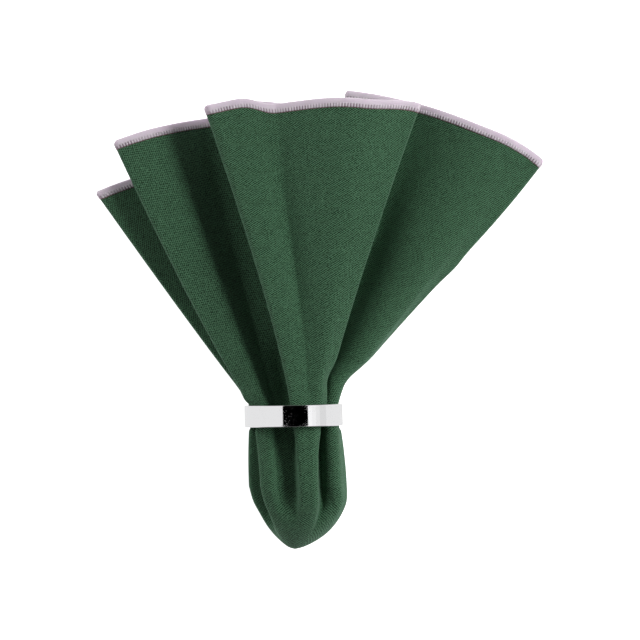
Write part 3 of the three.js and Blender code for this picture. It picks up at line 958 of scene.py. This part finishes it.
class NAPKIN_OT_edging(Operator):
    """Make the overlocked edge: a dense band of thread with single stitches on both faces"""

    bl_idname = "napkin.make_edging"
    bl_label = "Make edging"

    def execute(self, context):
        settings = context.scene.napkin_edging
        belt = belt_points(fineness=3)
        band = self.band(belt, settings)
        stitches = self.stitches(belt, settings)
        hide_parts("edging")
        return {"FINISHED"}

    def band(self, belt, settings):
        """Thread wrapped over the raw edge, as a closed tube all round the cloth."""
        count = len(belt)
        across = EDGING_PROFILE + [(strip, -half) for strip, half in reversed(EDGING_PROFILE)]
        turns = len(across)
        mids = [[p.fan_spot(strip_share(p, strip)) for p in belt] for strip, half in across]
        edge = [p.fan_spot(strip_share(p, 0)) for p in belt]
        normals = hem_normals(edge, mids[0])
        run = [0.0]
        for i in range(1, count + 1):
            run.append(run[-1] + (edge[i % count] - edge[i - 1]).length * MM)
        bm = bmesh.new()
        bmesh.ops.create_grid(bm, x_segments=count, y_segments=turns, size=1)
        layer = bm.loops.layers.uv.new("edge")
        ends = bm.verts.layers.float.new("fold end")
        cells = grid_cells(bm, count, turns)
        for face in bm.faces:
            face.smooth = True
            for loop in face.loops:
                i, j = cells[loop.vert]
                loop[layer].uv = (run[i], across[j % turns][0] * MM)
        for vert, (i, j) in cells.items():
            i, j = i % count, j % turns
            vert.co = placed(mids[j][i] + normals[i] * across[j][1])
            vert[ends] = smooth_step(belt[i].fold_end())
        bmesh.ops.remove_doubles(bm, verts=bm.verts, dist=MERGE_DISTANCE)
        bmesh.ops.recalc_face_normals(bm, faces=bm.faces)
        return new_piece("edging_band", bm, thread_material(settings))

    def stitches(self, belt, settings):
        """Single stitches across the inner half of the edge, on both faces of the cloth."""
        count = len(belt)
        inner = [p.fan_spot(strip_share(p, EDGING_PROFILE[0][0])) for p in belt]
        edge = [p.fan_spot(strip_share(p, 0)) for p in belt]
        normals = hem_normals(edge, inner)
        row = [p.fan_spot(strip_share(p, STITCH_MIDDLE)) for p in belt]
        steps = [(row[(i + 1) % count] - row[i]).length for i in range(count)]
        number = round(sum(steps) * MM / settings.stitch_spacing)
        spacing = sum(steps) / number
        matrices = []
        station, passed = 0, 0.0
        for n in range(number):
            wanted = (n + 0.5) * spacing
            while passed + steps[station] < wanted:
                passed += steps[station]
                station += 1
            share = (wanted - passed) / steps[station]
            after = (station + 1) % count
            middle = row[station].lerp(row[after], share)
            normal = normals[station].lerp(normals[after], share).normalized()
            outward = (edge[station] - inner[station]).lerp(edge[after] - inner[after], share).normalized()
            along = outward.cross(normal).normalized()
            uneven = noise.noise(Vector((n * SHIFT_PACE, SHIFT_ROW, 0)))
            lean = along * (STITCH_LEAN * noise.noise(Vector((n * LEAN_PACE, 0, LEAN_ROW))))
            raised = STITCH_RAISE * (1 - STITCH_SINK * smooth_step(belt[station].fold_end()))
            for side in (1, -1):
                spot = placed(middle + normal * (raised * side) + outward * (STITCH_SHIFT * uneven))
                turn = Matrix((along, (outward + lean).normalized(), normal)).transposed().to_4x4()
                matrices.append(Matrix.Translation(spot) @ turn)
        template = self.stitch_shape(settings)
        bm = bmesh.new()
        for _ in matrices:
            bm.from_mesh(template)
        size = len(template.vertices)
        for i, vert in enumerate(bm.verts):
            vert.co = matrices[i // size] @ vert.co
        bpy.data.meshes.remove(template)
        return new_piece("edging_stitches", bm, stitch_material(settings))

    def stitch_shape(self, settings):
        """One stitch along Y: a plump thread with rounded ends."""
        bm = bmesh.new()
        bmesh.ops.create_uvsphere(bm, u_segments=6, v_segments=5, radius=0.5)
        turn = Matrix.Rotation(QUARTER_TURN, 4, "X")
        bmesh.ops.transform(bm, matrix=turn, verts=bm.verts)
        for vert in bm.verts:
            share = abs(vert.co.y) * 2
            vert.co.y = math.copysign(share**STITCH_BLUNTNESS / 2, vert.co.y)
        sizes = (settings.stitch_width, settings.stitch_length, settings.stitch_height)
        bmesh.ops.scale(bm, vec=sizes, verts=bm.verts)
        for face in bm.faces:
            face.smooth = True
        mesh = bpy.data.meshes.new("stitch shape")
        bm.to_mesh(mesh)
        bm.free()
        return mesh


def hem_normals(edge, inner):
    """Outward direction of the cloth at each point of its edge."""
    count = len(edge)
    normals = []
    for i in range(count):
        around = edge[(i + 1) % count] - edge[i - 1]
        normals.append(around.cross(edge[i] - inner[i]).normalized())
    return normals


class NAPKIN_OT_ring(Operator):
    """Make the polished band round the gathers"""

    bl_idname = "napkin.make_ring"
    bl_label = "Make ring"

    def execute(self, context):
        settings = context.scene.napkin_ring
        outer = RING_DIAMETER / 2 * MM
        inner = outer - RING_WALL * MM
        half = RING_WIDTH / 2 * MM
        bm = bmesh.new()
        support = half - 2 * settings.edge_radius
        corners = [(inner, -half), (outer, -half), (outer, -support), (outer, support)]
        corners += [(outer, half), (inner, half), (inner, support), (inner, -support)]
        section = [bm.verts.new((x, y, 0)) for x, y in corners]
        sides = [bm.edges.new((section[i - 1], section[i])) for i in range(len(section))]
        bmesh.ops.spin(
            bm,
            geom=section + sides,
            cent=(0, 0, 0),
            axis=(0, 1, 0),
            angle=FULL_TURN,
            steps=settings.facets,
            use_merge=True,
        )
        bmesh.ops.remove_doubles(bm, verts=bm.verts, dist=MERGE_DISTANCE)
        bmesh.ops.recalc_face_normals(bm, faces=bm.faces)
        rims = [e for e in bm.edges if e.calc_face_angle(0) > QUARTER_TURN / 2]
        bmesh.ops.bevel(
            bm,
            geom=rims,
            offset=settings.edge_radius,
            affect="EDGES",
            segments=3,
            profile=0.5,
            material=-1,
        )
        for face in bm.faces:
            face.smooth = True
        turn = Matrix.Rotation(math.radians(RING_TURN_DEGREES), 4, "Z")
        bmesh.ops.transform(bm, matrix=turn, verts=bm.verts)
        bmesh.ops.translate(bm, vec=placed(Vector((0, 0, AXIS_HEIGHT))), verts=bm.verts)
        piece = new_piece("ring_band", bm, polished_material(settings))
        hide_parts("ring")
        return {"FINISHED"}


class NAPKIN_OT_stage(Operator):
    """Make the white table, the soft lights and the camera straight above"""

    bl_idname = "napkin.make_stage"
    bl_label = "Make stage"

    def execute(self, context):
        settings = context.scene.napkin_stage
        self.floor(settings)
        self.lights(context.scene, settings)
        self.camera(context.scene, settings)
        context.scene.view_settings.view_transform = "Standard"
        return {"FINISHED"}

    def floor(self, settings):
        """White table that glows a little and doesn't show in the ring."""
        bm = bmesh.new()
        bmesh.ops.create_grid(bm, x_segments=1, y_segments=1, size=TABLE_HALF_WIDTH)
        nodes = Nodes("white table")
        nodes.set(Base_Color=linear(settings.floor_colour), Roughness=0.9, Specular_IOR_Level=0.1)
        nodes.set(Emission_Color=linear(WHITE), Emission_Strength=settings.floor_glow)
        table = self.stage_piece("table", bm, nodes.material)
        table.visible_glossy = False

    def reflector(self, name, first, last, glow):
        """Curved studio wall that only shows in the polished ring, between two angles from straight up."""
        bm = bmesh.new()
        lean = math.radians(first)
        side = WALL_RADIUS * math.sin(lean)
        height = WALL_RADIUS * math.cos(lean)
        ends = [bm.verts.new((side, y, height)) for y in (-WALL_HALF_LENGTH, WALL_HALF_LENGTH)]
        bmesh.ops.spin(
            bm,
            geom=[*ends, bm.edges.new(ends)],
            cent=(0, 0, 0),
            axis=(0, 1, 0),
            angle=math.radians(last - first),
            steps=WALL_STEPS,
        )
        bmesh.ops.translate(bm, vec=placed(Vector((0, 0, AXIS_HEIGHT))), verts=bm.verts)
        nodes = Nodes(name)
        nodes.set(Base_Color=linear(BLACK), Roughness=1.0, Specular_IOR_Level=0.0)
        nodes.set(Emission_Color=linear(WHITE), Emission_Strength=glow)
        wall = self.stage_piece(name, bm, nodes.material)
        wall.visible_camera = False
        wall.visible_diffuse = False
        wall.visible_shadow = False
        wall.visible_transmission = False

    def stage_piece(self, name, bm, material):
        """Piece of the studio, which is no part of the napkin."""
        piece = add_object(name, bm, material)
        return piece

    def soft_light(self, scene, name, place, size, power):
        """Large soft light that looks at the middle of the napkin."""
        data = bpy.data.lights.new(name, "AREA")
        data.shape = "RECTANGLE"
        data.size, data.size_y = size
        data.energy = power
        lamp = bpy.data.objects.new(name, data)
        lamp.location = place
        lamp.rotation_euler = (-lamp.location).to_track_quat("-Z", "Y").to_euler()
        lamp.visible_camera = False
        lamp.visible_glossy = False
        scene.collection.objects.link(lamp)

    def lights(self, scene, settings):
        """Even room light, a key on the right, a fill on the left and the walls round the ring."""
        world = bpy.data.worlds.new("studio")
        world.use_nodes = True
        background = world.node_tree.nodes["Background"]
        background.inputs["Color"].default_value = linear(WHITE)
        background.inputs["Strength"].default_value = settings.room_light
        scene.world = world
        self.soft_light(scene, "key", KEY_PLACE, KEY_SIZE, settings.key_power)
        self.soft_light(scene, "fill", FILL_PLACE, FILL_SIZE, settings.fill_power)
        for name, first, last, glow in WALLS:
            self.reflector(name, first, last, glow)

    def camera(self, scene, settings):
        """Camera straight above the middle of the picture."""
        data = bpy.data.cameras.new("camera")
        data.sensor_width = SENSOR_WIDTH
        data.lens = data.sensor_width * settings.camera_height / settings.view_width
        data.clip_end = VIEW_END
        camera = bpy.data.objects.new("camera", data)
        place = placed(Vector((*PICTURE_MIDDLE, 0)) * PIXEL_SIZE)
        camera.location = (place.x, place.y, settings.camera_height)
        scene.collection.objects.link(camera)
        scene.camera = camera


class NAPKIN_PT_panel(Panel):
    """List the steps of the napkin in the sidebar"""

    bl_label = "Napkin in a ring"
    bl_idname = "NAPKIN_PT_panel"
    bl_space_type = "VIEW_3D"
    bl_region_type = "UI"
    bl_category = "Napkin"

    def draw(self, context):
        groups = (
            (NAPKIN_OT_cloth, context.scene.napkin_cloth),
            (NAPKIN_OT_edging, context.scene.napkin_edging),
            (NAPKIN_OT_ring, context.scene.napkin_ring),
            (NAPKIN_OT_stage, context.scene.napkin_stage),
        )
        for operator, settings in groups:
            box = self.layout.box()
            box.operator(operator.bl_idname)
            for name in settings.__annotations__:
                box.prop(settings, name)


SETTINGS = {
    "napkin_cloth": ClothProperties,
    "napkin_edging": EdgingProperties,
    "napkin_ring": RingProperties,
    "napkin_stage": StageProperties,
}
OPERATORS = (NAPKIN_OT_cloth, NAPKIN_OT_edging, NAPKIN_OT_ring, NAPKIN_OT_stage)
CLASSES = (*SETTINGS.values(), *OPERATORS, NAPKIN_PT_panel)


def register():
    for cls in CLASSES:
        bpy.utils.register_class(cls)
    for name, group in SETTINGS.items():
        setattr(bpy.types.Scene, name, PointerProperty(type=group))


def unregister():
    for name in SETTINGS:
        delattr(bpy.types.Scene, name)
    for cls in reversed(CLASSES):
        bpy.utils.unregister_class(cls)


def main():
    register()
    bpy.ops.napkin.make_cloth()
    bpy.ops.napkin.make_edging()
    bpy.ops.napkin.make_ring()
    bpy.ops.napkin.make_stage()


if __name__ == "__main__":
    main()
